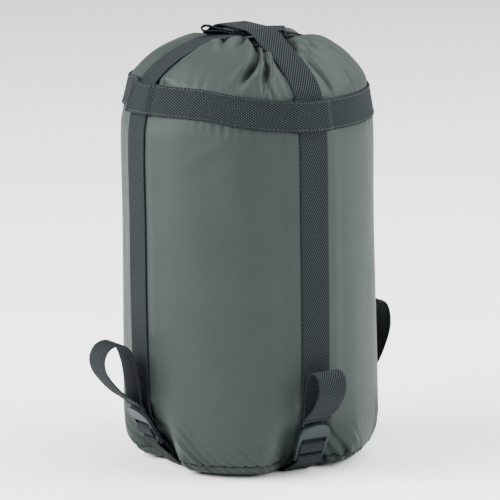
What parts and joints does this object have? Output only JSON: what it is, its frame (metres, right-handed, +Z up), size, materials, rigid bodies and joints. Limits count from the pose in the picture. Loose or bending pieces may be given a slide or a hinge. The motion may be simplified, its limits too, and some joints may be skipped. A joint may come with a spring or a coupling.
{
  "type": "compression stuff sack",
  "caption": "Full cylindrical nylon stuff sack in a compression cage: hoop band, crossed top straps, side straps with ladder-lock buckles and pull loops, grab loop on top.",
  "frame": {"origin": "middle of the base, on the floor, on the underside of the base webbing", "axes": "+Z up along the sack's axis; -Y to the front strap, +X to the right strap"},
  "size_m": [0.27, 0.2605, 0.3521],
  "materials": {
    "nylon": "satin",
    "webbing": "matte",
    "buckle_plastic": "satin",
    "drawcord": "matte",
    "packed_fill": "matte"
  },
  "bodies": {
    "root": {"packed_contents": "packed_fill", "base_panel": "nylon", "side_panel": "nylon", "base_strap_front_back": "webbing", "base_strap_left_right": "webbing", "side_strap_front": "webbing", "side_strap_right": "webbing", "side_strap_back": "webbing", "side_strap_left": "webbing"},
    "cage": {"mouth_panel": "nylon", "hoop_band": "webbing", "top_strap_front_back": "webbing", "top_strap_left_right": "webbing", "grab_loop": "webbing", "drawcord": "drawcord", "drawcord_knot": "drawcord"},
    "buckle_front": {"buckle_front": "buckle_plastic", "threaded_webbing_front": "webbing"},
    "tail_front": {"pull_loop_front": "webbing"},
    "buckle_right": {"buckle_right": "buckle_plastic", "threaded_webbing_right": "webbing"},
    "tail_right": {"pull_loop_right": "webbing"},
    "buckle_back": {"buckle_back": "buckle_plastic", "threaded_webbing_back": "webbing"},
    "tail_back": {"pull_loop_back": "webbing"},
    "buckle_left": {"buckle_left": "buckle_plastic", "threaded_webbing_left": "webbing"},
    "tail_left": {"pull_loop_left": "webbing"}
  },
  "joints": [
    {"name": "compression", "type": "slide", "parent": "root", "child": "cage", "axis": [0, 0, -1], "range_m": [0, 0.08], "deforming": ["side_panel", "packed_contents", "side_strap_front", "side_strap_right", "side_strap_back", "side_strap_left"]},
    {"name": "buckle_tilt_front", "type": "hinge", "parent": "root", "child": "buckle_front", "pos_m": [0, -0.088, 0.014], "axis": [1, 0, 0], "range_deg": [0, 50]},
    {"name": "tail_pull_front", "type": "slide", "parent": "buckle_front", "child": "tail_front", "axis": [0, -0.4384, 0.8988], "range_m": [0, 0.08]},
    {"name": "buckle_tilt_right", "type": "hinge", "parent": "root", "child": "buckle_right", "pos_m": [0.0895, 0, 0.02], "axis": [0, 1, 0], "range_deg": [0, 50]},
    {"name": "tail_pull_right", "type": "slide", "parent": "buckle_right", "child": "tail_right", "axis": [0.4848, 0, 0.8746], "range_m": [0, 0.08]},
    {"name": "buckle_tilt_back", "type": "hinge", "parent": "root", "child": "buckle_back", "pos_m": [0, 0.089, 0.017], "axis": [-1, 0, 0], "range_deg": [0, 50]},
    {"name": "tail_pull_back", "type": "slide", "parent": "buckle_back", "child": "tail_back", "axis": [0, 0.4695, 0.8829], "range_m": [0, 0.08]},
    {"name": "buckle_tilt_left", "type": "hinge", "parent": "root", "child": "buckle_left", "pos_m": [-0.0905, 0, 0.0236], "axis": [0, -1, 0], "range_deg": [0, 50]},
    {"name": "tail_pull_left", "type": "slide", "parent": "buckle_left", "child": "tail_left", "axis": [-0.5299, 0, 0.848], "range_m": [0, 0.08]}
  ],
  "couplings": [
    {"joint": "tail_pull_front", "follows": "compression", "ratio": 1},
    {"joint": "tail_pull_right", "follows": "compression", "ratio": 1},
    {"joint": "tail_pull_back", "follows": "compression", "ratio": 1},
    {"joint": "tail_pull_left", "follows": "compression", "ratio": 1}
  ]
}
